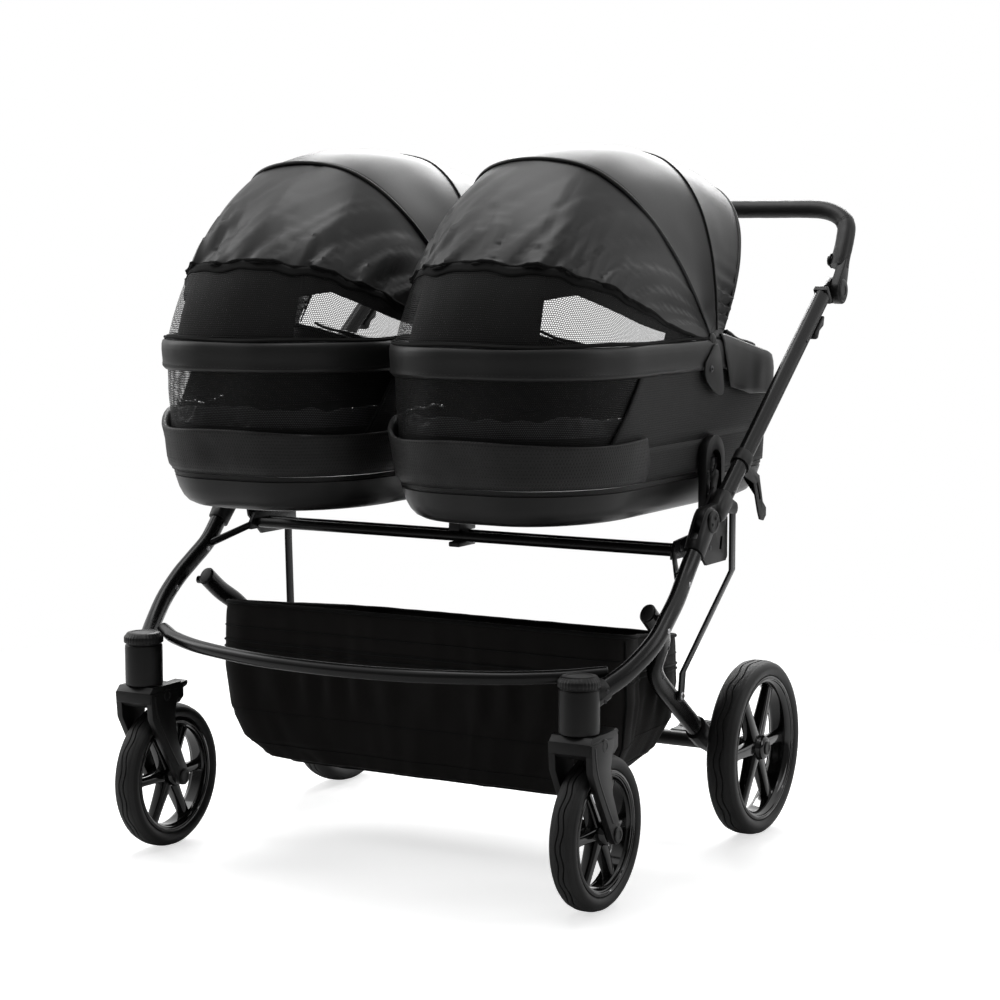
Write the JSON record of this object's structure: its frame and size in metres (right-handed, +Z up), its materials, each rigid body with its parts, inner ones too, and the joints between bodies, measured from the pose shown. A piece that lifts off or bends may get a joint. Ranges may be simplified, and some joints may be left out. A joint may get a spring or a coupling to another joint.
{
  "type": "twin pram",
  "caption": "Folding side-by-side twin pram: tube frame with swivelling front casters, tilting padded handle, underseat basket and lift-off carrycots with fold-back hoods.",
  "frame": {"origin": "on the floor, midway between the wheels' outermost points, under the middle", "axes": "+X to the pram's left-to-right seen from the front, +Y towards the handle, +Z up"},
  "size_m": [0.8972, 0.9506, 1.0993],
  "materials": {
    "frame_paint": "satin black paint on aluminium tube",
    "strut_steel": "satin black flat steel",
    "moulded_plastic": "fine-grained black plastic",
    "base_plastic": "satin black plastic",
    "rim_plastic": "glossy black plastic",
    "tyre_rubber": "matt black foam rubber",
    "leatherette": "smooth matt black leatherette",
    "handle_cover": "stitched black leatherette",
    "side_fabric": "finely dotted black fabric",
    "basket_fabric": "black woven fabric",
    "mattress_cover": "dark grey knitted cover",
    "webbing": "black woven webbing",
    "mesh_net": "open black mesh",
    "rivet_steel": "plain steel"
  },
  "bodies": {
    "frame": {"front_leg_left": "frame_paint", "front_leg_right": "frame_paint", "fold_fork_left": "moulded_plastic", "fold_fork_right": "moulded_plastic", "front_crossbar": "frame_paint", "front_cross_tube": "frame_paint", "rear_cross_tube": "frame_paint", "cot_bracket_left": "moulded_plastic", "cot_bracket_right": "moulded_plastic", "centre_support": "moulded_plastic", "caster_housing_left": "moulded_plastic", "caster_housing_right": "moulded_plastic"},
    "upper_frame": {"fold_knuckle_left": "moulded_plastic", "fold_knuckle_right": "moulded_plastic", "upper_tube_left": "frame_paint", "upper_tube_right": "frame_paint", "handle_joint_left": "moulded_plastic", "handle_joint_right": "moulded_plastic", "transport_strap": "webbing"},
    "handle": {"handlebar": "handle_cover"},
    "rear_frame": {"rear_leg_left": "frame_paint", "rear_leg_right": "frame_paint", "rear_axle": "frame_paint", "basket": "basket_fabric"},
    "brake_pedal": {"brake_pedal": "moulded_plastic"},
    "handle_button_left": {"handle_button_left": "moulded_plastic"},
    "fold_trigger_left": {"fold_trigger_left": "moulded_plastic"},
    "strut_left": {"fold_strut_left": "strut_steel"},
    "swivel_left": {"front_fork_left": "moulded_plastic"},
    "swivel_lever_left": {"swivel_lever_left": "moulded_plastic"},
    "front_wheel_left": {"front_rim_left": "rim_plastic", "front_tyre_left": "tyre_rubber"},
    "rear_wheel_left": {"rear_rim_left": "rim_plastic", "rear_tyre_left": "tyre_rubber"},
    "cot_left": {"cot_tub_left": "base_plastic", "cot_wall_left": "side_fabric", "cot_mattress_left": "mattress_cover", "cot_apron_left": "leatherette", "cot_latch_left": "moulded_plastic"},
    "hood_rear_left": {"hood_rear_panel_left": "leatherette"},
    "hood_middle_left": {"hood_middle_panel_left": "leatherette"},
    "hood_front_left": {"hood_front_panel_left": "leatherette"},
    "handle_button_right": {"handle_button_right": "moulded_plastic"},
    "fold_trigger_right": {"fold_trigger_right": "moulded_plastic"},
    "strut_right": {"fold_strut_right": "strut_steel"},
    "swivel_right": {"front_fork_right": "moulded_plastic"},
    "swivel_lever_right": {"swivel_lever_right": "moulded_plastic"},
    "front_wheel_right": {"front_rim_right": "rim_plastic", "front_tyre_right": "tyre_rubber"},
    "rear_wheel_right": {"rear_rim_right": "rim_plastic", "rear_tyre_right": "tyre_rubber"},
    "cot_right": {"cot_tub_right": "base_plastic", "cot_wall_right": "side_fabric", "cot_mattress_right": "mattress_cover", "cot_apron_right": "leatherette", "cot_latch_right": "moulded_plastic"},
    "hood_rear_right": {"hood_rear_panel_right": "leatherette"},
    "hood_middle_right": {"hood_middle_panel_right": "leatherette"},
    "hood_front_right": {"hood_front_panel_right": "leatherette"}
  },
  "joints": [
    {"name": "fold", "type": "hinge", "parent": "frame", "child": "upper_frame", "pos_m": [0, -0.113, 0.535], "axis": [1, 0, 0], "range_deg": [0, 168]},
    {"name": "rear_fold", "type": "hinge", "parent": "frame", "child": "rear_frame", "pos_m": [0, -0.22, 0.4015], "axis": [1, 0, 0], "range_deg": [0, 31.5]},
    {"name": "handle_tilt", "type": "hinge", "parent": "upper_frame", "child": "handle", "pos_m": [0, 0.39, 0.866], "axis": [1, 0, 0], "range_deg": [-70, 40]},
    {"name": "brake_press", "type": "hinge", "parent": "rear_frame", "child": "brake_pedal", "pos_m": [0.275, 0.187, 0.142], "axis": [1, 0, 0], "range_deg": [-20, 0]},
    {"name": "strut_turn_left", "type": "hinge", "parent": "rear_frame", "child": "strut_left", "pos_m": [-0.3618, -0.045, 0.2545], "axis": [1, 0, 0], "range_deg": [0, 36]},
    {"name": "button_press_left", "type": "slide", "parent": "handle", "child": "handle_button_left", "axis": [-1, 0, 0], "range_m": [0, 0.003], "stiffness_N_per_m": 400, "springref_m": -0.002},
    {"name": "trigger_pull_left", "type": "slide", "parent": "upper_frame", "child": "fold_trigger_left", "axis": [0, 0.7917, 0.6109], "range_m": [0, 0.01], "stiffness_N_per_m": 300, "springref_m": -0.003},
    {"name": "caster_swivel_left", "type": "hinge", "parent": "frame", "child": "swivel_left", "pos_m": [-0.38, -0.4155, 0.2645], "axis": [0, 0, 1], "continuous": true},
    {"name": "swivel_lock_left", "type": "hinge", "parent": "swivel_left", "child": "swivel_lever_left", "pos_m": [-0.38, -0.366, 0.251], "axis": [1, 0, 0], "range_deg": [-15, 0]},
    {"name": "front_wheel_spin_left", "type": "hinge", "parent": "swivel_left", "child": "front_wheel_left", "pos_m": [-0.38, -0.3625, 0.113], "axis": [1, 0, 0], "continuous": true},
    {"name": "rear_wheel_spin_left", "type": "hinge", "parent": "rear_frame", "child": "rear_wheel_left", "pos_m": [-0.393, 0.164, 0.14], "axis": [1, 0, 0], "continuous": true},
    {"name": "cot_lift_left", "type": "slide", "parent": "frame", "child": "cot_left", "axis": [0, 0, 1], "range_m": [0, 0.3]},
    {"name": "hood_rear_turn_left", "type": "hinge", "parent": "cot_left", "child": "hood_rear_left", "pos_m": [-0.206, 0.006, 0.775], "axis": [1, 0, 0], "range_deg": [0, 26], "deforming": ["hood_rear_panel_left"]},
    {"name": "hood_middle_turn_left", "type": "hinge", "parent": "hood_rear_left", "child": "hood_middle_left", "pos_m": [-0.206, 0.006, 0.775], "axis": [1, 0, 0], "range_deg": [0, 36], "deforming": ["hood_middle_panel_left"]},
    {"name": "hood_front_turn_left", "type": "hinge", "parent": "hood_middle_left", "child": "hood_front_left", "pos_m": [-0.206, 0.006, 0.775], "axis": [1, 0, 0], "range_deg": [0, 33], "deforming": ["hood_front_panel_left"]},
    {"name": "strut_turn_right", "type": "hinge", "parent": "rear_frame", "child": "strut_right", "pos_m": [0.3618, -0.045, 0.2545], "axis": [1, 0, 0], "range_deg": [0, 36]},
    {"name": "button_press_right", "type": "slide", "parent": "handle", "child": "handle_button_right", "axis": [1, 0, 0], "range_m": [0, 0.003], "stiffness_N_per_m": 400, "springref_m": -0.002},
    {"name": "trigger_pull_right", "type": "slide", "parent": "upper_frame", "child": "fold_trigger_right", "axis": [0, 0.7917, 0.6109], "range_m": [0, 0.01], "stiffness_N_per_m": 300, "springref_m": -0.003},
    {"name": "caster_swivel_right", "type": "hinge", "parent": "frame", "child": "swivel_right", "pos_m": [0.38, -0.4155, 0.2645], "axis": [0, 0, 1], "continuous": true},
    {"name": "swivel_lock_right", "type": "hinge", "parent": "swivel_right", "child": "swivel_lever_right", "pos_m": [0.38, -0.366, 0.251], "axis": [1, 0, 0], "range_deg": [-15, 0]},
    {"name": "front_wheel_spin_right", "type": "hinge", "parent": "swivel_right", "child": "front_wheel_right", "pos_m": [0.38, -0.3625, 0.113], "axis": [1, 0, 0], "continuous": true},
    {"name": "rear_wheel_spin_right", "type": "hinge", "parent": "rear_frame", "child": "rear_wheel_right", "pos_m": [0.393, 0.164, 0.14], "axis": [1, 0, 0], "continuous": true},
    {"name": "cot_lift_right", "type": "slide", "parent": "frame", "child": "cot_right", "axis": [0, 0, 1], "range_m": [0, 0.3]},
    {"name": "hood_rear_turn_right", "type": "hinge", "parent": "cot_right", "child": "hood_rear_right", "pos_m": [0.206, 0.006, 0.775], "axis": [1, 0, 0], "range_deg": [0, 26], "deforming": ["hood_rear_panel_right"]},
    {"name": "hood_middle_turn_right", "type": "hinge", "parent": "hood_rear_right", "child": "hood_middle_right", "pos_m": [0.206, 0.006, 0.775], "axis": [1, 0, 0], "range_deg": [0, 36], "deforming": ["hood_middle_panel_right"]},
    {"name": "hood_front_turn_right", "type": "hinge", "parent": "hood_middle_right", "child": "hood_front_right", "pos_m": [0.206, 0.006, 0.775], "axis": [1, 0, 0], "range_deg": [0, 33], "deforming": ["hood_front_panel_right"]}
  ],
  "couplings": [
    {"joint": "rear_fold", "follows": "fold", "ratio": 0.1875},
    {"joint": "strut_turn_left", "follows": "fold", "ratio": 0.214},
    {"joint": "hood_middle_turn_left", "follows": "hood_rear_turn_left", "ratio": 1.38},
    {"joint": "hood_front_turn_left", "follows": "hood_rear_turn_left", "ratio": 1.26},
    {"joint": "strut_turn_right", "follows": "fold", "ratio": 0.214},
    {"joint": "hood_middle_turn_right", "follows": "hood_rear_turn_right", "ratio": 1.38},
    {"joint": "hood_front_turn_right", "follows": "hood_rear_turn_right", "ratio": 1.26}
  ]
}
